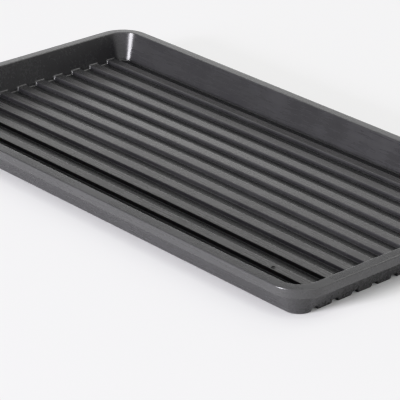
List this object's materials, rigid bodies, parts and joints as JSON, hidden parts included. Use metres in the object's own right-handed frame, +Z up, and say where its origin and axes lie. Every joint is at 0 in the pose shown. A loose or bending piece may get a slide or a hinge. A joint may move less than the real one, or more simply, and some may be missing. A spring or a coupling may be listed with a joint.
{
  "type": "propagation tray",
  "caption": "Shallow rectangular propagation tray with a turned-down rim, leaning walls, rounded corners and a lengthways ribbed floor.",
  "frame": {"origin": "centre of the underside, on the ground the tray stands on", "axes": "+X along the tray and its ridges, +Y across it, +Z up"},
  "size_m": [0.536, 0.282, 0.0284],
  "materials": {
    "moulding": "fine satin grain, dark grey"
  },
  "bodies": {
    "root": {"floor_groove_01": "moulding", "floor_groove_02": "moulding", "floor_groove_03": "moulding", "floor_groove_04": "moulding", "floor_groove_05": "moulding", "floor_groove_06": "moulding", "floor_groove_07": "moulding", "floor_groove_08": "moulding", "floor_groove_09": "moulding", "floor_groove_10": "moulding", "floor_groove_11": "moulding", "floor_groove_12": "moulding", "floor_ridge_01": "moulding", "floor_ridge_02": "moulding", "floor_ridge_03": "moulding", "floor_ridge_04": "moulding", "floor_ridge_05": "moulding", "floor_ridge_06": "moulding", "floor_ridge_07": "moulding", "floor_ridge_08": "moulding", "floor_ridge_09": "moulding", "floor_ridge_10": "moulding", "floor_ridge_11": "moulding", "rim_back": "moulding", "rim_corner_back_left": "moulding", "rim_corner_back_right": "moulding", "rim_corner_front_left": "moulding", "rim_corner_front_right": "moulding", "rim_front": "moulding", "rim_left": "moulding", "rim_right": "moulding", "wall_back": "moulding", "wall_corner_back_left": "moulding", "wall_corner_back_right": "moulding", "wall_corner_front_left": "moulding", "wall_corner_front_right": "moulding", "wall_front": "moulding", "wall_left": "moulding", "wall_right": "moulding"}
  },
  "joints": []
}
